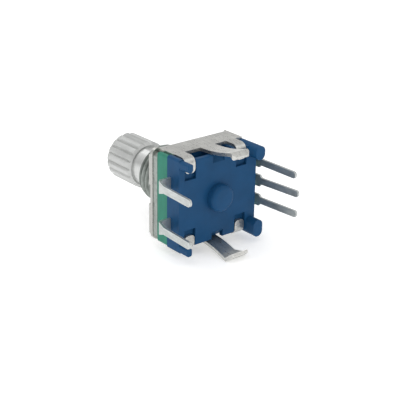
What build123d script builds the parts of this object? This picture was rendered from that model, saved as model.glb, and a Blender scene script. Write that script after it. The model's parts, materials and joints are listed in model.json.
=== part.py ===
"""Rotary encoder with push switch, 11 mm class, knurled shaft, through-hole terminals.

Millimetres. The shaft lies along Y and points to -Y. The origin is on the shaft axis, in the plane
where the encoder meets its panel. +Z is up, -X is the side of the three encoder terminals and +X is
the side of the two switch terminals.
"""
import os
from math import atan2, cos, radians, sin

from build123d import *

# --- shaft ---
SHAFT_REACH = 12.5        # panel face to shaft tip
KNURL_LENGTH = 5.0
KNURL_R = 3.0
KNURL_TEETH = 18
KNURL_DEPTH = 0.27
KNURL_BEVEL = 0.35        # at both ends of the teeth
SHAFT_R = 2.46            # plain collar, runs in the bushing's bore
GROOVE_R = 2.0            # neck that holds the retaining clip
DRIVE_R = 1.75            # drive end with two flats, keyed into the rotor
DRIVE_FLAT = 1.35         # axis to each flat
SHAFT_END = 3.05          # drive end, at rest
LAND_END = 1.42           # back of the thick part of the shaft
CLIP_FRONT = 1.02
CLIP_SHEET = 0.2
CLIP_R = 2.85
PUSH_TRAVEL = 0.5

# --- bushing: one casting with its plate ---
BUSHING_R = 3.5
BUSHING_REACH = 5.0
BUSHING_CHAMFER = 0.25
NECK_R = 3.2              # relief groove behind the thread, inside the steel plate's hole
NECK_FRONT = 0.2
BORE_R = 2.5
FLANGE_HALF = 5.25        # half height of the casting's plate
FLANGE_INSET = 0.1        # the plate's sides stand in from the steel's
KEYWAY_HALF = 0.62        # half width of the slots that hold the detent spring's ears
KEYWAY_X = 5.15

# --- layers of the body, front to back ---
PLATE_FRONT = 0.25        # the steel plate's face; four raised pads on it touch the panel
SHEET = 0.4               # steel sheet of the frame
CASTING_FRONT = PLATE_FRONT + SHEET
POCKET_FLOOR = 1.0        # pocket in the back of the casting, for the detent spring
WAFER_FRONT = 1.45
WAFER_FLOOR = 2.75
BASE_FRONT = 3.3
BASE_BACK = 5.5
BOARD_FACE = 7.0          # ends of the corner posts, where the circuit board rests

# --- outline of the body ---
LEFT = 5.5                # +X edge, switch terminal side
RIGHT = -6.2              # -X edge, encoder terminal side
HALF_HEIGHT = 5.7         # outside of the frame's walls
WALL_MIDDLE = HALF_HEIGHT - SHEET / 2
INSIDE_HALF = HALF_HEIGHT - SHEET - 0.02
WALL_LEFT = 4.6           # +X and -X ends of the frame's walls
WALL_RIGHT = -5.6
WALL_BEND = 0.6
WALL_BACK = 3.5           # back edge of the walls between tabs and lugs
PLATE_ROUND = 0.8
LEFT_POST_Z = (4.6, 5.6)  # inside and outside of the posts on the +X edge
LEFT_POST_ROUND = 0.28
RIGHT_POST_X = -4.75      # inner side of the posts on the -X edge
UPPER_RIGHT_POST_Z = (3.8, 5.5)
LOWER_RIGHT_POST_Z = (3.8, 5.95)
RIGHT_POST_ROUND = 0.68
CAVITY_R = 4.75           # room for the rotor
EDGE_BEVEL = 0.25         # bevel along the base's upper and lower back edges
LUG_BEVEL = 1.1           # deeper bevel that clears each lug
LUG_BEVEL_HALF = 0.85
POCKET_BEVEL = 0.42
TROUGH_HALF = 2.85        # sunk strip of the base behind the walls' back edges
TROUGH_BACK = 4.9
TROUGH_FLOOR = 4.1

# --- frame's tabs and lugs ---
TAB_X = 3.8
TAB_WIDTH = 1.4
TAB_TIP_Z = 3.85
TAB_BEND = 0.65           # middle of the sheet
TAB_POCKET = 3.05         # inner end of the pocket that the tab is folded into
LUG_WIDTH = 2.1
LUG_CREST_Y = 8.7
UPPER_LUG = (-0.3, 6.5, 9.35, 5.9, 0.4)  # middle in X, outside of the snap crest, reach along Y,
LOWER_LUG = (0.05, 6.7, 9.75, 5.7, 0.8)  # height of the tip, widening at the crest on the -X side
PAD_WIDTH = 0.9           # raised pads on the plate's four corners
PAD_LOW = 1.2
PAD_HIGH = 4.9

# --- terminals ---
STRIP = 0.3               # thickness of the terminal strip
ENCODER_ROW = -7.5
ENCODER_PITCH = 2.5
SWITCH_ROW = 7.0
SWITCH_PITCH = 5.0
SWITCH_ROOT_Y = 3.85      # middle of the switch terminals' strip where it leaves the base
SWITCH_REACH = 10.0       # tips of the terminals
ENCODER_REACH = 10.75
SWITCH_SPLAY = 0.35       # how far each terminal leans outward at its tip
SPLAY_A = 0.15
SPLAY_C = 0.75
SPLAY_B = 0.6
PIN_WIDTH = 0.85
ROOT_WIDTH = 1.5
TERMINAL_LIFT = 0.45      # bend radius of the terminals, middle of the strip

# --- rotor and detent ---
DETENTS = 20
ROTOR_R = 4.5
ROTOR_FRONT = 1.4
ROTOR_BACK = 2.3
RECESS_R = 3.0            # recess in the rotor's front that clears the retaining clip
RECESS_FLOOR = 1.97
HUB_R = 2.2
CODE_DISC = 0.1
CODE_DISC_R = 4.2
WINDOW_INNER_R = 3.05
WINDOW_OUTER_R = 4.0
NOTCH_R = 0.28
NOTCH_Y = 1.32            # centre of the notches' and bumps' round section
BUMP_R = 0.22
SPRING_SHEET = 0.15
SPRING_OUTER_R = 4.5
SPRING_INNER_R = 3.3
EAR_X = 5.05              # ends of the spring's two ears
EAR_HALF = 0.55

# --- switch ---
SWITCH_WELL_R = 2.9
SWITCH_FLOOR = 4.87
DOME_R = 2.3
DOME_RISE = PUSH_TRAVEL + 0.05
DOME_SHEET = 0.08
FILM_SHEET = 0.05
FILM_RISE = DOME_RISE + 0.08
CONTACT_HALF = 0.4        # half width of the buried contact leads
CONTACT_X = 4.5           # outer side of the lead's drop from the terminal
BOSS_X = -0.35            # the boss and the bevels stand in the middle of the base
BOSS_R = 1.65
BOSS_REACH = 1.1
BOSS_ROUND = 0.5

RUN = 0.03                # running clearance


def block(x, y, z):
    """Box from three (low, high) pairs."""
    size = [high - low for low, high in (x, y, z)]
    middle = [(low + high) / 2 for low, high in (x, y, z)]
    return Pos(*middle) * Box(*size)


def rod(radius, y_start, y_end, x=0.0, z=0.0):
    """Cylinder along Y."""
    middle = (y_start + y_end) / 2
    return Pos(x, middle, z) * Rot(90, 0, 0) * Cylinder(radius, y_end - y_start)


def ring(outer, inner, y_start, y_end):
    return rod(outer, y_start, y_end) - rod(inner, y_start - 1, y_end + 1)


def turned(points):
    """Solid of revolution about Y from (radius, y) points."""
    profile = make_face(Polyline(*[(r, y, 0) for r, y in points], close=True))
    return revolve(profile, Axis.Y)


def rounded_slab(x, y, z, corner):
    """Flat slab across Y with rounded corners."""
    width = x[1] - x[0]
    height = z[1] - z[0]
    plane = Plane(origin=((x[0] + x[1]) / 2, y[0], (z[0] + z[1]) / 2), x_dir=(1, 0, 0), z_dir=(0, 1, 0))
    return extrude(plane * RectangleRounded(width, height, corner), y[1] - y[0])


def double_d(radius, flat, y_start, y_end):
    """Round bar along Y with two flats across X."""
    return rod(radius, y_start, y_end) & block((-flat, flat), (y_start, y_end), (-radius, radius))


def strip_along(points, radius, width, thickness, plane):
    """Flat strip bent along a path drawn in the given plane; its width stands on that plane."""
    path = plane * FilletPolyline(*points, radius=radius)
    section = Plane(origin=path @ 0, x_dir=plane.z_dir, z_dir=path % 0)
    return sweep(section * Rectangle(width, thickness), path)


def mirrored(shape):
    return mirror(shape, Plane.XY)


# ---------------------------------------------------------------- shaft


def knurled_shaft():
    tip = -SHAFT_REACH
    knurl_end = tip + KNURL_LENGTH
    groove_end = POCKET_FLOOR + 0.24
    outline = [
        (0, tip),
        (KNURL_R - KNURL_BEVEL, tip),
        (KNURL_R, tip + KNURL_BEVEL),
        (KNURL_R, knurl_end - KNURL_BEVEL),
        (KNURL_R - KNURL_BEVEL, knurl_end),
        (SHAFT_R, knurl_end),
        (SHAFT_R, POCKET_FLOOR),
        (GROOVE_R, POCKET_FLOOR),
        (GROOVE_R, groove_end),
        (SHAFT_R, groove_end),
        (SHAFT_R, LAND_END - 0.1),
        (SHAFT_R - 0.1, LAND_END),
        (0, LAND_END),
    ]
    body = turned(outline)
    side = 1.2
    cutter = Rot(0, 45, 0) * Box(side, KNURL_LENGTH + 1, side)
    reach = KNURL_R - KNURL_DEPTH + side / 2 ** 0.5
    middle = tip + (KNURL_LENGTH - 1) / 2
    for tooth in range(KNURL_TEETH):
        angle = 360 * tooth / KNURL_TEETH
        body -= Rot(0, angle, 0) * Pos(reach, middle, 0) * cutter
    return body + double_d(DRIVE_R, DRIVE_FLAT, LAND_END - 0.05, SHAFT_END)


def retaining_clip():
    """Snap ring with an open mouth and an eye in each end."""
    through = (CLIP_FRONT - 1, CLIP_FRONT + 1)
    clip = ring(CLIP_R, GROOVE_R + 0.02, CLIP_FRONT, CLIP_FRONT + CLIP_SHEET)
    clip -= block((1.2, 4), through, (-1.1, 1.1))
    for z in (1.75, -1.75):
        clip -= rod(0.22, *through, x=1.55, z=z)
    return clip


# ---------------------------------------------------------------- bushing and frame


def bushing():
    tube = turned([
        (0, -BUSHING_REACH),
        (BUSHING_R - BUSHING_CHAMFER, -BUSHING_REACH),
        (BUSHING_R, -BUSHING_REACH + BUSHING_CHAMFER),
        (BUSHING_R, NECK_FRONT),
        (NECK_R, NECK_FRONT),
        (NECK_R, WAFER_FRONT),
        (0, WAFER_FRONT),
    ])
    sides = (RIGHT + FLANGE_INSET, LEFT - FLANGE_INSET)
    flange = rounded_slab(sides, (CASTING_FRONT, WAFER_FRONT), (-FLANGE_HALF, FLANGE_HALF), 0.5)
    behind = WAFER_FRONT + 1
    pocket = rod(CAVITY_R, POCKET_FLOOR, behind)
    keyways = block((-KEYWAY_X, KEYWAY_X), (POCKET_FLOOR, behind), (-KEYWAY_HALF, KEYWAY_HALF))
    bore = rod(BORE_R, -BUSHING_REACH - 1, behind)
    return tube + flange - pocket - keyways - bore


def frame_plate():
    height = (-HALF_HEIGHT, HALF_HEIGHT)
    plate = rounded_slab((RIGHT, LEFT), (PLATE_FRONT, CASTING_FRONT), height, PLATE_ROUND)
    for x in ((LEFT - PAD_WIDTH, LEFT), (RIGHT, RIGHT + PAD_WIDTH)):
        for z in ((PAD_LOW, PAD_HIGH), (-PAD_HIGH, -PAD_LOW)):
            plate += block(x, (0, PLATE_FRONT + 0.05), z)
    return plate - rod(BUSHING_R + 0.05, -1, CASTING_FRONT + 1)


def frame_lug(x, crest_z, reach, tip_z, flare):
    """Board lug on the upper side: a strip that bows out to its snap crest and turns back in."""
    wall_end = (WALL_BACK - 0.3, WALL_MIDDLE)
    crest = (LUG_CREST_Y, crest_z - SHEET / 2)
    run = crest[0] - wall_end[0]
    rise = crest[1] - wall_end[1]
    bow_r = (run ** 2 + rise ** 2) / (2 * rise)
    half_turn = atan2(rise, run)
    middle = (wall_end[0] + bow_r * sin(half_turn), wall_end[1] + bow_r * (1 - cos(half_turn)))
    path = Plane.YZ * (
        Line((wall_end[0] - 0.4, WALL_MIDDLE), wall_end)
        + ThreePointArc(wall_end, middle, crest)
        + Line(crest, (reach - 0.1, tip_z))
    )
    section = Plane(origin=path @ 0, x_dir=(1, 0, 0), z_dir=path % 0)
    strip = sweep(section * Rectangle(LUG_WIDTH + 2 * flare, SHEET), path, transition=Transition.ROUND)
    half = LUG_WIDTH / 2
    tip_half = 0.7
    outline = Polyline(
        (-half, 2),
        (half, 2),
        (half, LUG_CREST_Y + 0.3),
        (tip_half, reach),
        (-tip_half - flare, reach),
        (-half - flare, LUG_CREST_Y + 0.3),
        (-half - flare, LUG_CREST_Y - 0.1),
        (-half, LUG_CREST_Y - 0.8),
        close=True,
    )
    return Pos(x, 0, 0) * (strip & extrude(make_face(outline), 8))


def frame_tab(x):
    """Upper crimp tab, folded into its pocket in the back of the base."""
    fold_y = BASE_BACK - SHEET / 2
    path = [(2.6, WALL_MIDDLE), (fold_y, WALL_MIDDLE), (fold_y, TAB_TIP_Z)]
    strip = Pos(x, 0, 0) * strip_along(path, TAB_BEND, TAB_WIDTH, SHEET, Plane.YZ)
    tip_edges = strip.edges().filter_by(Axis.Y).group_by(Axis.Z)[0]
    return fillet(tip_edges, 0.45)


def frame():
    wall_x = (WALL_RIGHT, WALL_LEFT)
    wall = block(wall_x, (PLATE_FRONT, WALL_BACK), (HALF_HEIGHT - SHEET, HALF_HEIGHT))
    upper = wall + frame_tab(TAB_X) + frame_tab(-TAB_X)
    fold_foot = HALF_HEIGHT - WALL_BEND - 0.1
    upper += block(wall_x, (PLATE_FRONT, CASTING_FRONT), (fold_foot, HALF_HEIGHT))
    front_edges = upper.edges().filter_by(Axis.X).filter_by_position(Axis.Y, 0, PLATE_FRONT + 0.05)
    upper = fillet(front_edges.sort_by(Axis.Z)[-1], WALL_BEND)
    bend = block(wall_x, (-1, CASTING_FRONT + 0.5), (fold_foot, 7))
    plate = frame_plate() - bend - mirrored(bend)
    lugs = frame_lug(*UPPER_LUG) + mirrored(frame_lug(*LOWER_LUG))
    return plate + upper + mirrored(upper) + lugs


# ---------------------------------------------------------------- encoder wafer and terminals


def body_slab(front, back, post):
    """Layer of the body: as high as the frame's inside, and taller past the walls' +X ends."""
    middle = rounded_slab((RIGHT + 0.05, LEFT - 0.1), (front, back), (-INSIDE_HALF, INSIDE_HALF), 0.3)
    return middle + rounded_slab((WALL_LEFT + 0.05, LEFT - 0.1), (front, back), (-post, post), 0.3)


def encoder_terminal(z, splay):
    root_y = WAFER_FLOOR + STRIP / 2
    path = [(-3.3, root_y), (ENCODER_ROW, root_y), (ENCODER_ROW - splay, ENCODER_REACH)]
    strip = Pos(0, 0, z) * strip_along(path, TERMINAL_LIFT, ROOT_WIDTH, STRIP, Plane.XY)
    return narrowed(strip, z, ENCODER_REACH, shoulder=4.75, taper=0.25)


def switch_terminal(z):
    path = [(4.2, SWITCH_ROOT_Y), (SWITCH_ROW, SWITCH_ROOT_Y), (SWITCH_ROW + SWITCH_SPLAY, SWITCH_REACH)]
    strip = Pos(0, 0, z) * strip_along(path, TERMINAL_LIFT, ROOT_WIDTH, STRIP, Plane.XY)
    return narrowed(strip, z, SWITCH_REACH, shoulder=4.1, taper=0.9)


def narrowed(strip, z, reach, shoulder, taper):
    """Cut the strip to pin width past its shoulder and round the tip."""
    half = PIN_WIDTH / 2
    past = reach + 1
    tip_r = half - 0.05
    side = Polyline(
        (shoulder, 2),
        (shoulder, ROOT_WIDTH / 2),
        (shoulder + taper, half),
        (past, half),
        (past, 2),
        close=True,
    )
    plane = Plane(origin=(-10, 0, z), x_dir=(0, 1, 0), z_dir=(1, 0, 0))
    cutter = extrude(plane * make_face(side), 20)
    below = mirror(cutter, Plane(origin=(0, 0, z), z_dir=(0, 0, 1)))
    pin = strip - cutter - below
    end_edges = pin.edges().filter_by_position(Axis.Y, reach - 0.1, past)
    return fillet(end_edges.filter_by(lambda edge: abs(edge.length - STRIP) < 0.01), tip_r)


def wiper(z, tip_x):
    """Two-finger spring brush, fixed to a terminal's inner end and rising to the code disc."""
    sheet = 0.08
    rest_y = WAFER_FLOOR - sheet / 2
    touch_y = ROTOR_BACK + CODE_DISC + 0.02 + sheet / 2
    path = [(-3.7, rest_y), (-3.2, rest_y), (tip_x, touch_y), (tip_x + 0.35, touch_y + 0.1)]
    brush = Pos(0, 0, z) * strip_along(path, 0.15, 0.8, sheet, Plane.XY)
    slit = block((-3.1, 0), (0, 4), (z - 0.07, z + 0.07))
    return brush - slit


def wafer(terminals):
    body = body_slab(WAFER_FRONT, BASE_FRONT, HALF_HEIGHT - 0.15)
    body -= rod(CAVITY_R, WAFER_FRONT - 1, WAFER_FLOOR)
    body -= rod(HUB_R + RUN, WAFER_FRONT, BASE_FRONT + 1)
    for terminal in terminals:
        body -= terminal
    return body


# ---------------------------------------------------------------- rotor and detent


def detent_rotor():
    disc = rod(ROTOR_R, ROTOR_FRONT, ROTOR_BACK)
    disc -= rod(RECESS_R, ROTOR_FRONT - 1, RECESS_FLOOR)
    for notch in range(DETENTS):
        groove = Pos(0, NOTCH_Y, 4) * Cylinder(NOTCH_R, 3)
        disc -= Rot(0, 360 * notch / DETENTS, 0) * groove
    hub = rod(HUB_R, ROTOR_BACK - 0.1, BASE_FRONT - 0.05)
    return disc + hub - double_d(DRIVE_R + RUN, DRIVE_FLAT + RUN, 1, 4)


def code_disc():
    back = ROTOR_BACK + CODE_DISC
    disc = ring(CODE_DISC_R, HUB_R + 0.02, ROTOR_BACK, back)
    half_window = radians(360 / DETENTS / 4)
    across = cos(half_window)
    up = sin(half_window)
    outline = Polyline(
        (WINDOW_INNER_R * across, WINDOW_INNER_R * up),
        (WINDOW_OUTER_R * across, WINDOW_OUTER_R * up),
        (WINDOW_OUTER_R * across, -WINDOW_OUTER_R * up),
        (WINDOW_INNER_R * across, -WINDOW_INNER_R * up),
        close=True,
    )
    cutter = extrude(Plane.XZ * make_face(outline), -2 * back)
    for window in range(DETENTS):
        disc -= Rot(0, 360 * (window + 0.5) / DETENTS, 0) * cutter
    return disc


def detent_spring():
    """Flat spring ring with an ear at each side and a bump above and below that drops into the notches."""
    thickness = (POCKET_FLOOR, POCKET_FLOOR + SPRING_SHEET)
    spring = ring(SPRING_OUTER_R, SPRING_INNER_R, *thickness)
    root = SPRING_OUTER_R - 0.2
    for x in ((-EAR_X, -root), (root, EAR_X)):
        spring += block(x, thickness, (-EAR_HALF, EAR_HALF))
    for side in (1, -1):
        spring += Pos(0, NOTCH_Y, side * 3.9) * Cylinder(BUMP_R, 0.9)
    return spring


# ---------------------------------------------------------------- switch


def contact_strip(z_pin, z_pad, pad_y):
    """Buried lead from a switch terminal down to its contact on the floor of the switch well."""
    across = (z_pin - CONTACT_HALF, z_pin + CONTACT_HALF)
    foot_y = (SWITCH_FLOOR, SWITCH_FLOOR + STRIP)
    lead = block((CONTACT_X - STRIP, CONTACT_X), (SWITCH_ROOT_Y - STRIP / 2, foot_y[1]), across)
    lead += block((-CONTACT_HALF, CONTACT_X), foot_y, across)
    low, high = sorted((z_pin, z_pad))
    lead += block((-CONTACT_HALF, CONTACT_HALF), foot_y, (low - CONTACT_HALF, high + CONTACT_HALF))
    return lead + rod(CONTACT_HALF, pad_y, SWITCH_FLOOR + 0.1, z=z_pad)


def switch_terminal_d():
    """Terminal that reaches the dome's rim."""
    z = SWITCH_PITCH / 2
    return switch_terminal(z) + contact_strip(z, DOME_R - 0.25, SWITCH_FLOOR - 0.02)


def switch_terminal_e():
    """Terminal that reaches the contact under the dome's middle."""
    z = -SWITCH_PITCH / 2
    return switch_terminal(z) + contact_strip(z, 0, SWITCH_FLOOR - 0.07)


def cap(radius, rise, sheet, rim_y):
    """Spherical shell with its apex to the front and its rim at rim_y."""
    ball = (radius ** 2 + rise ** 2) / (2 * rise)
    depth = ball - rise
    centre_y = rim_y + depth

    def arc(r):
        rim_r = (r ** 2 - depth ** 2) ** 0.5
        half = atan2(rim_r, depth) / 2
        middle = (r * sin(half), centre_y - r * cos(half))
        return ThreePointArc((0, centre_y - r), middle, (rim_r, rim_y))

    outer = arc(ball)
    inner = arc(ball - sheet)
    ends = [Line(outer @ 0, inner @ 0), Line(outer @ 1, inner @ 1)]
    return revolve(make_face([outer, inner, *ends]), Axis.Y)


def snap_dome():
    return cap(DOME_R, DOME_RISE, DOME_SHEET, SWITCH_FLOOR - 0.02)


def dome_film():
    """Thin cover over the dome, with a flat brim that sticks to the floor of the well."""
    rim_y = SWITCH_FLOOR - 0.03
    cover = cap(DOME_R + 0.15, FILM_RISE, FILM_SHEET, rim_y)
    brim = ring(SWITCH_WELL_R - 0.02, DOME_R + 0.1, rim_y - FILM_SHEET, rim_y)
    return cover + brim


def switch_plunger():
    """Button between the shaft's end and the dome, with a collar that guides it in the well."""
    front = SHAFT_END + 0.02
    collar_y = (3.45, 3.75)
    apex = SWITCH_FLOOR - 0.03 - FILM_RISE - 0.02
    stem = rod(1.2, front, collar_y[0] + 0.05)
    collar = rod(SWITCH_WELL_R - 0.06, *collar_y)
    collar -= block((-SWITCH_WELL_R, SWITCH_WELL_R), (3, 4), (2.2, SWITCH_WELL_R))
    nose = rod(0.8, collar_y[1] - 0.05, apex)
    return stem + collar + nose


def base_post(x, reach_z, z_sign, corner):
    z = sorted(z_sign * end for end in reach_z)
    return rounded_slab(x, (WALL_BACK + 0.05, BOARD_FACE), z, corner)


def edge_ramp(depth, half_width, back=BASE_BACK):
    """Wedge that bevels the upper edge of a face of the base that looks back."""
    edge_z = HALF_HEIGHT - SHEET
    past = 0.1
    slope = Polyline(
        (back + past, edge_z - depth),
        (back + past, edge_z + past),
        (back - 0.8 * depth, edge_z + past),
        close=True,
    )
    wedge = extrude(Plane.YZ * make_face(slope), 2 * half_width)
    return Pos(-half_width, 0, 0) * wedge


def switch_base(terminals):
    body = body_slab(BASE_FRONT, BASE_BACK, HALF_HEIGHT)
    left_x = (WALL_LEFT + 0.05, LEFT - 0.1)
    right_x = (RIGHT + 0.05, RIGHT_POST_X)
    pocket_floor = BASE_BACK - SHEET - 0.02
    pocket_half = TAB_WIDTH / 2 + 0.12
    for sign, right_z in ((1, UPPER_RIGHT_POST_Z), (-1, LOWER_RIGHT_POST_Z)):
        body += base_post(left_x, LEFT_POST_Z, sign, LEFT_POST_ROUND)
        body += base_post(right_x, right_z, sign, RIGHT_POST_ROUND)
        pocket_z = sorted((sign * TAB_POCKET, sign * (HALF_HEIGHT + 1)))
        for x in (-TAB_X, TAB_X):
            body -= block((x - pocket_half, x + pocket_half), (pocket_floor, BASE_BACK + 1), pocket_z)
        trough_z = sorted((sign * TROUGH_FLOOR, sign * HALF_HEIGHT))
        body -= block((-TROUGH_HALF, TROUGH_HALF), (WALL_BACK - 0.1, TROUGH_BACK), trough_z)
    boss = rod(BOSS_R, BASE_BACK - 0.5, BASE_BACK + BOSS_REACH, x=BOSS_X)
    body += fillet(boss.edges().sort_by(Axis.Y)[-1], BOSS_ROUND)
    body -= rod(SWITCH_WELL_R, BASE_FRONT - 1, SWITCH_FLOOR)
    ramps = edge_ramp(EDGE_BEVEL, WALL_LEFT) + Pos(BOSS_X, 0, 0) * edge_ramp(LUG_BEVEL, LUG_BEVEL_HALF)
    for x in (-TAB_X, TAB_X):
        ramps += Pos(x, 0, 0) * edge_ramp(POCKET_BEVEL, pocket_half, pocket_floor)
    body = body - ramps - mirrored(ramps)
    for terminal in terminals:
        body -= terminal
    return body


# ---------------------------------------------------------------- all pieces


def encoder():
    encoder_pins = {
        "terminal_a": encoder_terminal(ENCODER_PITCH, SPLAY_A),
        "terminal_c": encoder_terminal(0, SPLAY_C),
        "terminal_b": encoder_terminal(-ENCODER_PITCH, SPLAY_B),
    }
    switch_pins = {
        "switch_terminal_d": switch_terminal_d(),
        "switch_terminal_e": switch_terminal_e(),
    }
    pieces = {
        "knurled_shaft": knurled_shaft(),
        "retaining_clip": retaining_clip(),
        "bushing": bushing(),
        "frame": frame(),
        "encoder_wafer": wafer(encoder_pins.values()),
        "detent_rotor": detent_rotor(),
        "code_disc": code_disc(),
        "detent_spring": detent_spring(),
        "wiper_a": wiper(ENCODER_PITCH, -2.3),
        "wiper_c": wiper(0, -2.65),
        "wiper_b": wiper(-ENCODER_PITCH, -2.3),
        "switch_base": switch_base(switch_pins.values()),
        "switch_plunger": switch_plunger(),
        "snap_dome": snap_dome(),
        "dome_film": dome_film(),
    }
    return pieces | encoder_pins | switch_pins


os.makedirs("parts", exist_ok=True)
for name, shape in encoder().items():
    export_step(shape, "parts/" + name + ".step")
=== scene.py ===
"""Looks of the rotary encoder: threaded casting, stamped frame, moulded body, plated terminals.

Metres in the frame. Lengths are written in millimetres and multiplied by MM, here or, where a
comment says millimetres, in the function that takes them. The shaft lies along Y and points to -Y,
the terminals point to +Y, and +Z is up.
"""
import json
import math

import bmesh
import bpy
from mathutils import Matrix, Vector


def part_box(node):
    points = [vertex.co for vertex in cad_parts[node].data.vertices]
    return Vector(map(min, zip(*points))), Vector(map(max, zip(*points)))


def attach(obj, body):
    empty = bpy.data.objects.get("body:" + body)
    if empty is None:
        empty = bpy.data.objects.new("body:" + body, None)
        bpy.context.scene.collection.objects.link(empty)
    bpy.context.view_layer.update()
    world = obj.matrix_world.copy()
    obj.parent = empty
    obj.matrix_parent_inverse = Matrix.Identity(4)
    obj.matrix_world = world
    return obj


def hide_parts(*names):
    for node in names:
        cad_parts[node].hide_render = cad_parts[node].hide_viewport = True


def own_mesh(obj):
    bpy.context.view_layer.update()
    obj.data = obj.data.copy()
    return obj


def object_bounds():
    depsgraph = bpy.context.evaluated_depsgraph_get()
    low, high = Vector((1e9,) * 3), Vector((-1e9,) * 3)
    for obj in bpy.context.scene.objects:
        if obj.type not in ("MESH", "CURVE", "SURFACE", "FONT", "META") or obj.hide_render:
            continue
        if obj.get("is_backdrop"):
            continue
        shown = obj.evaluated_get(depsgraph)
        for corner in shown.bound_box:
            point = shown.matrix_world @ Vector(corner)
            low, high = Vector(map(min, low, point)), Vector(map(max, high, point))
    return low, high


MM = 0.001

# --- camera ---
CAMERA_AZIMUTH = math.radians(140.3)
CAMERA_ELEVATION = math.radians(22.6)
CAMERA_ROLL = math.radians(0.93)
CAMERA_DISTANCE = 121.3 * MM
CAMERA_LENS = 91.6
AIM_RIGHT = 1.51 * MM        # the aim point, from the shaft axis at the panel face
AIM_UP = -1.92 * MM
AIM_BACK = 0.25 * MM

# --- thread of the bushing, M7 x 0.75 ---
THREAD_PITCH = 0.75 * MM
THREAD_DEPTH = 0.44 * MM
THREAD_CREST = 3.5 * MM
THREAD_CHAMFER = 0.25 * MM
THREAD_END = 0.2 * MM        # front of the relief groove
RUN_OUT = 0.4 * MM           # length over which the thread fades before the groove
NECK_R = 3.2 * MM
BORE_R = 2.5 * MM
BORE_BEVEL = 0.12 * MM
FLAT_CREST = 0.08            # shares of the thread's wave: the crest's flat and the flank
FLANK = 0.8
CASTING_FRONT = 0.65 * MM    # front of the casting's plate
POCKET_FLOOR = 1.0 * MM
POCKET_R = 4.75 * MM
PLATE_CORNER = 0.5 * MM
ROWS_PER_TURN = 20
AROUND = 144                 # points round the bushing
CASTING_SHARP = 35           # degrees, above which an edge of the casting stays sharp

# --- places in the materials, in millimetres ---
KNURL_END = -7.5             # along Y, where the teeth end and the plain collar begins
THREAD_SHADE_FULL_R = 3.08          # thread's root, darkest under painted shade
THREAD_SHADE_NONE_R = 3.42          # thread's crest, without painted shade
SIDE_SHADE_END = 0.7           # along Y, just behind the steel plate's cut edge; the painted shade on its sideways faces ends here
BLEND = 0.05                 # softness of the borders between finishes

# --- meshes ---
WELD_GAP = 0.0005 * MM       # points of a node that are nearer than this become one
SEAM_GAP = 0.0002 * MM       # the same in a surface built from rings
FLAT_ANGLE = 0.3             # degrees, below which neighbouring triangles become one flat face
SHARP_ANGLE = 28             # degrees, above which an edge stays sharp and gets its round
SHAFT_EDGE = 0.04            # widths of the rounds, in millimetres
SHEET_EDGE = 0.05
WAFER_EDGE = 0.08
BASE_EDGE = 0.1

LIGHT_DISTANCE = 1000 * MM

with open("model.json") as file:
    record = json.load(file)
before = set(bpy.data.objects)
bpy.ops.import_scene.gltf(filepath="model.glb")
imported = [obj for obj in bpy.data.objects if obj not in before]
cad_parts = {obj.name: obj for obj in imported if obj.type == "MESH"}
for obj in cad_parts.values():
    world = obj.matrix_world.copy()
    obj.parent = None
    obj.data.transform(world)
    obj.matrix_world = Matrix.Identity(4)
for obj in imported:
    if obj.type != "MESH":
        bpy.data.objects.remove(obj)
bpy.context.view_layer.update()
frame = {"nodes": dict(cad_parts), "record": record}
nodes = frame["nodes"]


# ---------------------------------------------------------------- shader helpers


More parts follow.
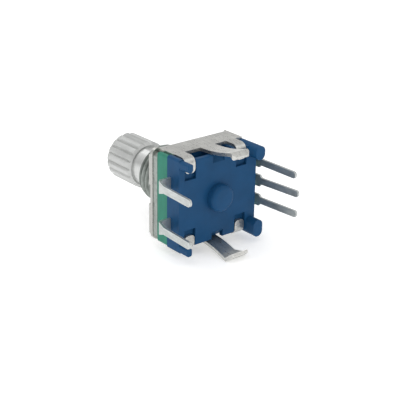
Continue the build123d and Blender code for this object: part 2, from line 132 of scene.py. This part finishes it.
class Shader:
    """A new material with short calls for its nodes and links."""

    def __init__(self, name):
        self.material = bpy.data.materials.new(name)
        self.material.use_nodes = True
        self.tree = self.material.node_tree
        self.surface = self.tree.nodes["Principled BSDF"]

    def add(self, kind, sockets=None, **settings):
        node = self.tree.nodes.new(kind)
        for key, value in settings.items():
            setattr(node, key, value)
        for key, value in (sockets or {}).items():
            node.inputs[key].default_value = value
        return node

    def link(self, source, target):
        self.tree.links.new(source, target)

    def set(self, sockets):
        for key, value in sockets.items():
            self.surface.inputs[key].default_value = value

    def place(self, stretch=(1, 1, 1)):
        """Object coordinates in millimetres, stretched by the factors given."""
        coords = self.add("ShaderNodeTexCoord")
        mapping = self.add("ShaderNodeMapping", {"Scale": [s / MM for s in stretch]})
        self.link(coords.outputs["Object"], mapping.inputs["Vector"])
        return mapping.outputs["Vector"]

    def from_axis(self):
        """Distance from the shaft axis and place along it, in millimetres."""
        split = self.add("ShaderNodeSeparateXYZ")
        self.link(self.place(), split.inputs["Vector"])
        spoke = self.add("ShaderNodeCombineXYZ")
        self.link(split.outputs["X"], spoke.inputs["X"])
        self.link(split.outputs["Z"], spoke.inputs["Z"])
        distance = self.add("ShaderNodeVectorMath", operation="LENGTH")
        self.link(spoke.outputs["Vector"], distance.inputs[0])
        return distance.outputs["Value"], split.outputs["Y"]

    def noise(self, vector, scale, detail=4, roughness=0.55):
        settings = {"Scale": scale, "Detail": detail, "Roughness": roughness}
        node = self.add("ShaderNodeTexNoise", settings)
        self.link(vector, node.inputs["Vector"])
        return node.outputs["Fac"]

    def ramp(self, fac, stops):
        """Colour ramp from (position, colour) pairs; a plain number is a grey."""
        node = self.add("ShaderNodeValToRGB")
        elements = node.color_ramp.elements
        while len(elements) < len(stops):
            elements.new(0.5)
        for element, (position, colour) in zip(elements, stops):
            element.position = position
            if isinstance(colour, (int, float)):
                colour = (colour, colour, colour)
            element.color = (*colour, 1)
        self.link(fac, node.inputs["Fac"])
        return node.outputs["Color"]

    def mix(self, fac, first, second, blend="MIX"):
        node = self.add("ShaderNodeMix", data_type="RGBA", blend_type=blend)
        sockets = {s.identifier: s for s in node.inputs}
        for value, socket in ((fac, "Factor_Float"), (first, "A_Color"), (second, "B_Color")):
            if isinstance(value, bpy.types.NodeSocket):
                self.link(value, sockets[socket])
            elif socket == "Factor_Float":
                sockets[socket].default_value = value
            else:
                sockets[socket].default_value = (*value, 1)
        return next(s for s in node.outputs if s.identifier == "Result_Color")

    def scale(self, value, low, high):
        """Map 0..1 to low..high."""
        node = self.add("ShaderNodeMapRange", {"To Min": low, "To Max": high})
        self.link(value, node.inputs["Value"])
        return node.outputs["Result"]

    def edges(self, width):
        """Mask that is white along edges, for a rim of the given width in millimetres."""
        soft = self.add("ShaderNodeBevel", {"Radius": width * MM}, samples=8)
        plain = self.add("ShaderNodeNewGeometry")
        across = self.add("ShaderNodeVectorMath", operation="DOT_PRODUCT")
        self.link(soft.outputs["Normal"], across.inputs[0])
        self.link(plain.outputs["Normal"], across.inputs[1])
        flat, edge = 0.999, 0.93     # cosines between the softened and the true normal
        rim = self.add("ShaderNodeMapRange", {"From Min": flat, "From Max": edge})
        self.link(across.outputs["Value"], rim.inputs["Value"])
        return rim.outputs["Result"]

    def plate_rim(self, back):
        """Mask for faces that look along X in front of the given Y, in millimetres."""
        coords = self.add("ShaderNodeTexCoord")
        facing = self.add("ShaderNodeSeparateXYZ")
        self.link(coords.outputs["Normal"], facing.inputs["Vector"])
        sideways = self.add("ShaderNodeMath", operation="ABSOLUTE")
        self.link(facing.outputs["X"], sideways.inputs[0])
        slanted, square = 0.8, 0.95  # share of the normal that points along X
        side = self.add("ShaderNodeMapRange", {"From Min": slanted, "From Max": square})
        self.link(sideways.outputs["Value"], side.inputs["Value"])
        where = self.add("ShaderNodeSeparateXYZ")
        self.link(coords.outputs["Object"], where.inputs["Vector"])
        near = self.add("ShaderNodeMapRange", {"From Min": (back + BLEND) * MM, "From Max": back * MM})
        self.link(where.outputs["Y"], near.inputs["Value"])
        both = self.add("ShaderNodeMath", operation="MULTIPLY")
        self.link(side.outputs["Result"], both.inputs[0])
        self.link(near.outputs["Result"], both.inputs[1])
        return both.outputs["Value"]

    def bump(self, layers):
        """Chain of bumps from (height, depth in millimetres, strength) layers."""
        normal = None
        for height, depth, strength in layers:
            node = self.add("ShaderNodeBump", {"Strength": strength, "Distance": depth * MM})
            self.link(height, node.inputs["Height"])
            if normal is not None:
                self.link(normal, node.inputs["Normal"])
            normal = node.outputs["Normal"]
        self.link(normal, self.surface.inputs["Normal"])


def tinted(colour, factor):
    return tuple(channel * factor for channel in colour)


# ---------------------------------------------------------------- materials


def plated_metal(name, colour, shine, grain, grain_depth=0.004, stain=0.88, metallic=1.0, side_shade_to=None):
    """Metal with stretched grain, cloudy plating, fine scuffs and edges lightened by rubbing and by a
    painted highlight.

    Its cut edges that look along X are darkened in front of the Y given by its last argument, in
    millimetres: painted shade.
    """
    s = Shader(name)
    s.set({"Metallic": metallic})
    even = s.place()
    along = s.place(grain)
    cloud = s.noise(even, 0.55, detail=3)
    lines = s.noise(along, 14, detail=5, roughness=0.7)
    pits = s.noise(even, 9, detail=2)
    scuff = s.noise(s.place((1, 0.3, 1)), 3.4, detail=4, roughness=0.7)
    base = s.ramp(cloud, [(0.3, tinted(colour, stain)), (0.55, colour), (0.8, tinted(colour, 1.06))])
    fine = s.ramp(lines, [(0.3, 0.8), (0.7, 1.0)])
    fine = s.mix(1.0, fine, s.ramp(scuff, [(0.36, 0.85), (0.6, 1.03)]), "MULTIPLY")
    # edges lightened along a rim of 0.12 mm: rubbed plating together with a painted highlight
    worn_and_painted_light = s.mix(s.edges(0.12), s.mix(1.0, base, fine, "MULTIPLY"), tinted(colour, 1.12))
    if side_shade_to is not None:
        # painted shade on the cut edges that face along X, streaked by the grain
        painted_side_shade = s.mix(s.ramp(lines, [(0.3, 0.0), (0.7, 1.0)]), tinted(colour, 0.55), tinted(colour, 0.75))
        worn_and_painted_light = s.mix(s.plate_rim(side_shade_to), worn_and_painted_light, painted_side_shade)
    s.link(worn_and_painted_light, s.surface.inputs["Base Color"])
    s.link(s.scale(scuff, shine - 0.1, shine + 0.14), s.surface.inputs["Roughness"])
    s.bump([(scuff, grain_depth * 3, 0.4), (lines, grain_depth, 0.6), (pits, grain_depth * 1.5, 0.35)])
    return s.material


def moulded_plastic(name, colour, shine, specular):
    """Injection-moulded plastic: faint flow marks, fine orange peel, slightly uneven gloss."""
    s = Shader(name)
    s.set({"IOR": 1.5, "Specular IOR Level": specular})
    even = s.place()
    flow = s.noise(s.place((0.35, 1.0, 0.35)), 1.1, detail=3)
    peel = s.noise(even, 12, detail=3)
    speck = s.noise(even, 34, detail=2)
    base = s.ramp(flow, [(0.3, tinted(colour, 0.88)), (0.55, colour), (0.8, tinted(colour, 1.1))])
    fine = s.ramp(speck, [(0.35, 0.92), (0.65, 1.0)])
    s.link(s.mix(1.0, base, fine, "MULTIPLY"), s.surface.inputs["Base Color"])
    s.link(s.scale(flow, shine - 0.06, shine + 0.1), s.surface.inputs["Roughness"])
    s.bump([(flow, 0.02, 0.3), (peel, 0.004, 0.35)])
    return s.material


def shaft_metal(name, colour, knurl_end):
    """Turned shaft: satin teeth, a smoother, brighter collar behind them, and fine lathe rings."""
    s = Shader(name)
    s.set({"Metallic": 1.0})
    even = s.place()
    cloud = s.noise(even, 0.5, detail=3)
    scratch = s.noise(s.place((3, 0.25, 3)), 14, detail=5, roughness=0.7)
    distance, along = s.from_axis()
    lathe = s.add("ShaderNodeCombineXYZ")
    s.link(distance, lathe.inputs["X"])
    s.link(along, lathe.inputs["Y"])
    rings = s.noise(lathe.outputs["Vector"], 9, detail=3)
    change = {"From Min": knurl_end - BLEND, "From Max": knurl_end + BLEND}
    behind = s.add("ShaderNodeMapRange", change)
    s.link(along, behind.inputs["Value"])
    collar = behind.outputs["Result"]
    satin = s.ramp(cloud, [(0.3, tinted(colour, 0.9)), (0.7, colour)])
    fine = s.mix(1.0, satin, s.ramp(scratch, [(0.3, 0.9), (0.7, 1.0)]), "MULTIPLY")
    fine = s.mix(1.0, fine, s.ramp(rings, [(0.35, 0.9), (0.65, 1.0)]), "MULTIPLY")
    bright = s.ramp(rings, [(0.35, tinted(colour, 0.84)), (0.65, tinted(colour, 0.98))])
    s.link(s.mix(collar, fine, bright), s.surface.inputs["Base Color"])
    s.link(s.scale(collar, 0.5, 0.3), s.surface.inputs["Roughness"])
    s.bump([(scratch, 0.004, 0.5), (rings, 0.003, 0.4)])
    return s.material


def cast_metal(name, colour, shine):
    """Die-cast zinc under nickel: mottled, with a fine sandy skin and painted shade darkening the
    thread's valleys.
    """
    s = Shader(name)
    s.set({"Metallic": 1.0})
    even = s.place()
    mottle = s.noise(even, 1.6, detail=5, roughness=0.65)
    sand = s.noise(even, 20, detail=3)
    base = s.ramp(mottle, [(0.3, tinted(colour, 0.65)), (0.55, colour), (0.75, tinted(colour, 1.15))])
    # painted shade: darker towards the thread's root, down to half the colour
    crest = s.add("ShaderNodeMapRange", {"From Min": THREAD_SHADE_FULL_R, "From Max": THREAD_SHADE_NONE_R})
    s.link(s.from_axis()[0], crest.inputs["Value"])
    painted_thread_shade = s.ramp(crest.outputs["Result"], [(0.0, 0.5), (1.0, 1.0)])
    s.link(s.mix(1.0, base, painted_thread_shade, "MULTIPLY"), s.surface.inputs["Base Color"])
    s.link(s.scale(mottle, shine - 0.08, shine + 0.14), s.surface.inputs["Roughness"])
    s.bump([(mottle, 0.01, 0.4), (sand, 0.005, 0.5)])
    return s.material


def amber_film(name):
    s = Shader(name)
    s.set({"Roughness": 0.25, "IOR": 1.6})
    streak = s.noise(s.place((1, 1, 4)), 2.0)
    base = s.ramp(streak, [(0.3, (0.42, 0.16, 0.02)), (0.7, (0.62, 0.30, 0.06))])
    s.link(base, s.surface.inputs["Base Color"])
    s.bump([(streak, 0.004, 0.4)])
    return s.material


materials = {
    "shaft_metal": shaft_metal("shaft_metal", (0.66, 0.67, 0.66), KNURL_END),
    "cast_zinc": cast_metal("cast_zinc", (0.33, 0.36, 0.34), 0.34),
    "frame_steel": plated_metal(
        "frame_steel", (0.69, 0.69, 0.66), 0.28, (2, 0.16, 2), 0.012,
        stain=0.86, metallic=0.92, side_shade_to=SIDE_SHADE_END,
    ),
    "terminal_metal": plated_metal("terminal_metal", (0.60, 0.63, 0.62), 0.34, (3, 0.3, 3), metallic=0.8),
    "contact_bronze": plated_metal("contact_bronze", (0.72, 0.48, 0.22), 0.3, (1, 1, 4), 0.003),
    "spring_steel": plated_metal("spring_steel", (0.55, 0.56, 0.57), 0.22, (4, 1, 1), 0.003),
    "green_plastic": moulded_plastic("green_plastic", (0.04, 0.235, 0.165), 0.4, 0.15),
    "blue_plastic": moulded_plastic("blue_plastic", (0.011, 0.072, 0.180), 0.4, 0.12),
    "rotor_plastic": moulded_plastic("rotor_plastic", (0.70, 0.68, 0.62), 0.4, 0.4),
    "film": amber_film("film"),
}


# ---------------------------------------------------------------- mesh helpers


def new_piece(name, mesh, body, slot, replaced):
    piece = bpy.data.objects.new(name, mesh)
    bpy.context.scene.collection.objects.link(piece)
    mesh.materials.append(materials[slot])
    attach(piece, body)
    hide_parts(replaced)
    return piece


def smooth_shading(mesh, angle):
    mesh.shade_smooth()
    mesh.set_sharp_from_angle(angle=math.radians(angle))


def round_edges(piece, width):
    """Round every sharp edge of a piece by the given width in millimetres."""
    bevel = piece.modifiers.new("round_edges", "BEVEL")
    bevel.width = width * MM
    bevel.segments = 3
    bevel.limit_method = "ANGLE"
    bevel.angle_limit = math.radians(SHARP_ANGLE)
    bevel.harden_normals = True


def welded(node, name):
    """Copy of a CAD node's surface, welded and cleared of flat triangles."""
    mesh = bpy.data.meshes.new(name)
    skin = bmesh.new()
    skin.from_mesh(nodes[node].data)
    bmesh.ops.remove_doubles(skin, verts=skin.verts, dist=WELD_GAP)
    limit = math.radians(FLAT_ANGLE)
    bmesh.ops.dissolve_limit(skin, angle_limit=limit, verts=skin.verts, edges=skin.edges)
    skin.to_mesh(mesh)
    skin.free()
    smooth_shading(mesh, SHARP_ANGLE)
    return mesh


def refined(node, name, body, slot, edge):
    """Finished piece over a CAD node, with its edges rounded."""
    piece = new_piece(name, welded(node, name), body, slot, node)
    round_edges(piece, edge)


def flattened(node, name, slot):
    """Dome or film under the plunger, as a welded copy with a mesh of its own."""
    piece = new_piece(name, welded(node, name), "housing", slot, node)
    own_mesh(piece)


def closed_surface(name, loops):
    """Mesh from rings of equal count, each joined to the next and the last to the first."""
    skin = bmesh.new()
    rings = [[skin.verts.new(point) for point in loop] for loop in loops]
    for ring, following in zip(rings, rings[1:] + rings[:1]):
        count = len(ring)
        for i in range(count):
            j = (i + 1) % count
            skin.faces.new((ring[i], ring[j], following[j], following[i]))
    bmesh.ops.remove_doubles(skin, verts=skin.verts, dist=SEAM_GAP)
    bmesh.ops.recalc_face_normals(skin, faces=skin.faces)
    mesh = bpy.data.meshes.new(name)
    skin.to_mesh(mesh)
    skin.free()
    return mesh


def even_angles():
    return [2 * math.pi * i / AROUND for i in range(AROUND)]


def circle(radius, y, angles=None):
    """Points round the shaft axis, evenly spaced unless their angles are given."""
    return [Vector((radius * math.cos(a), y, radius * math.sin(a))) for a in angles or even_angles()]


# ---------------------------------------------------------------- bushing with its thread


def rounded_outline(low, high, corner, y):
    """Rounded rectangle across Y as AROUND points, from the middle of the +X side round by +Z."""
    steps = AROUND // 8
    points = []
    middle_z = (low[1] + high[1]) / 2
    ends = [
        (high[0], high[1], 0),
        (low[0], high[1], 90),
        (low[0], low[1], 180),
        (high[0], low[1], 270),
    ]
    previous = Vector((high[0], y, middle_z))
    for x, z, start in ends:
        centre = Vector((x - math.copysign(corner, x), y, z - math.copysign(corner, z)))
        arc = []
        for i in range(steps + 1):
            angle = math.radians(start + 90 * i / steps)
            arc.append(centre + corner * Vector((math.cos(angle), 0, math.sin(angle))))
        gap = arc[0] - previous
        points += [previous + gap * i / (steps - 1) for i in range(steps - 1)]
        points += arc
        previous = arc[-1]
    return points[:AROUND]


def thread_radius(y, angle, front):
    """Radius of the threaded surface, with its lead-in chamfer and its run-out at the back."""
    turn = (y - front) / THREAD_PITCH - angle / (2 * math.pi)
    wave = abs(2 * (turn % 1) - 1)
    flank = min(1, max(0, (wave - FLAT_CREST) / FLANK))
    fade = min(1, max(0, (THREAD_END - y) / RUN_OUT))
    lead_in = THREAD_CREST - THREAD_CHAMFER + (y - front)
    return min(THREAD_CREST - THREAD_DEPTH * (1 - flank) * fade, lead_in)


def thread_rows(front):
    """Rings of the thread from the bushing's front to its relief groove."""
    angles = even_angles()
    rows = math.ceil((THREAD_END - front) / THREAD_PITCH * ROWS_PER_TURN)
    for row in range(rows + 1):
        y = front + (THREAD_END - front) * row / rows
        radii = [thread_radius(y, a, front) for a in angles]
        yield [Vector((r * math.cos(a), y, r * math.sin(a))) for r, a in zip(radii, angles)]


def bushing_casting():
    """Threaded sleeve and plate in one surface, from the bore's front out, back and in again."""
    low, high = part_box("bushing")
    front = low.y
    back = high.y
    outline = []
    for y in (CASTING_FRONT, back):
        outline.append(rounded_outline((low.x, low.z), (high.x, high.z), PLATE_CORNER, y))
    angles = [math.atan2(p.z, p.x) for p in outline[1]]
    loops = [circle(BORE_R, front + BORE_BEVEL), circle(BORE_R + BORE_BEVEL, front)]
    loops += thread_rows(front)
    loops += [circle(NECK_R, THREAD_END), circle(NECK_R, CASTING_FRONT)]
    loops += outline
    loops += [circle(POCKET_R, back, angles), circle(POCKET_R, POCKET_FLOOR, angles)]
    loops.append(circle(BORE_R, POCKET_FLOOR))
    mesh = closed_surface("bushing_casting", loops)
    smooth_shading(mesh, CASTING_SHARP)
    new_piece("bushing_casting", mesh, "housing", "cast_zinc", "bushing")


# ---------------------------------------------------------------- studio


def floor(height):
    """Plain pale sheet, six metres across, under the encoder."""
    half = 3.0
    mesh = bpy.data.meshes.new("floor")
    corners = [(-half, -half, height), (half, -half, height), (half, half, height), (-half, half, height)]
    mesh.from_pydata(corners, [], [(0, 1, 2, 3)])
    plane = bpy.data.objects.new("floor", mesh)
    bpy.context.scene.collection.objects.link(plane)
    s = Shader("floor_paper")
    tone = s.noise(s.place((0.05, 0.05, 0.05)), 1.0, detail=2)
    s.link(s.ramp(tone, [(0.3, 0.93), (0.7, 0.95)]), s.surface.inputs["Base Color"])
    s.set({"Roughness": 0.85, "Specular IOR Level": 0.1, "Emission Strength": 0.35})
    mesh.materials.append(s.material)
    plane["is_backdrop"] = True


def studio_world():
    """Pale surround whose tone changes with height, white at the horizon and below."""
    world = bpy.data.worlds.new("studio")
    world.use_nodes = True
    tree = world.node_tree
    coords = tree.nodes.new("ShaderNodeTexCoord")
    split = tree.nodes.new("ShaderNodeSeparateXYZ")
    ramp = tree.nodes.new("ShaderNodeValToRGB")
    stops = ((0.16, 1.0), (0.26, 0.6), (0.4, 0.64), (0.75, 0.7))
    elements = ramp.color_ramp.elements
    while len(elements) < len(stops):
        elements.new(0.5)
    for element, (height, tone) in zip(elements, stops):
        element.position = height
        element.color = (tone, tone, tone, 1)
    tree.links.new(coords.outputs["Generated"], split.inputs["Vector"])
    tree.links.new(split.outputs["Z"], ramp.inputs["Fac"])
    background = tree.nodes["Background"]
    tree.links.new(ramp.outputs["Color"], background.inputs["Color"])
    background.inputs["Strength"].default_value = 1.0
    bpy.context.scene.world = world


def softbox(name, azimuth, elevation, size, power):
    """Square area light aimed at the origin, from angles in degrees, millimetres and watts."""
    data = bpy.data.lights.new(name, "AREA")
    data.shape = "SQUARE"
    data.size = size * MM
    data.energy = power
    light = bpy.data.objects.new(name, data)
    bpy.context.scene.collection.objects.link(light)
    a, e = math.radians(azimuth), math.radians(elevation)
    away = Vector((math.sin(a) * math.cos(e), -math.cos(a) * math.cos(e), math.sin(e)))
    light.location = away * LIGHT_DISTANCE
    light.rotation_mode = "QUATERNION"
    light.rotation_quaternion = away.to_track_quat("Z", "Y")


def camera():
    """Camera that looks at the aim point from its azimuth and elevation, rolled a little."""
    data = bpy.data.cameras.new("camera")
    data.lens = CAMERA_LENS
    data.sensor_width = 36
    data.clip_start = 0.01
    data.clip_end = 20
    eye = bpy.data.objects.new("camera", data)
    bpy.context.scene.collection.objects.link(eye)
    a, e = CAMERA_AZIMUTH, CAMERA_ELEVATION
    back = Vector((math.sin(a) * math.cos(e), -math.cos(a) * math.cos(e), math.sin(e)))
    right = Vector((math.cos(a), math.sin(a), 0))
    up = back.cross(right)
    rolled_right = right * math.cos(CAMERA_ROLL) + up * math.sin(CAMERA_ROLL)
    rolled_up = up * math.cos(CAMERA_ROLL) - right * math.sin(CAMERA_ROLL)
    aim = Vector((0, AIM_BACK, 0)) + rolled_right * AIM_RIGHT + rolled_up * AIM_UP
    axes = Matrix((rolled_right, rolled_up, back)).transposed().to_4x4()
    eye.matrix_world = Matrix.Translation(aim + back * CAMERA_DISTANCE) @ axes
    bpy.context.scene.camera = eye


# ---------------------------------------------------------------- the encoder


def finish_nodes():
    """Give every node of the frame its procedural material."""
    slots = {part["node"]: part["material_slot"] for part in frame["record"]["subparts"]}
    for name, node in nodes.items():
        node.data.materials.clear()
        node.data.materials.append(materials[slots[name]])


finish_nodes()
bushing_casting()
refined("knurled_shaft", "shaft_knurled_end", "shaft", "shaft_metal", SHAFT_EDGE)
refined("frame", "frame_stamping", "housing", "frame_steel", SHEET_EDGE)
refined("encoder_wafer", "wafer_moulding", "housing", "green_plastic", WAFER_EDGE)
refined("switch_base", "switch_base_moulding", "housing", "blue_plastic", BASE_EDGE)
for letter in "acb":
    refined("terminal_" + letter, "encoder_pin_" + letter, "housing", "terminal_metal", SHEET_EDGE)
for letter in "de":
    refined("switch_terminal_" + letter, "switch_pin_" + letter, "housing", "terminal_metal", SHEET_EDGE)
flattened("snap_dome", "dome_spring", "spring_steel")
flattened("dome_film", "dome_cover", "film")

camera()
studio_world()
floor(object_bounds()[0].z)
softbox("key", azimuth=75, elevation=62, size=800, power=2.2)
softbox("fill", azimuth=220, elevation=45, size=700, power=0.8)
softbox("front", azimuth=0, elevation=46, size=500, power=0.7)

bpy.context.scene.view_settings.view_transform = "Standard"
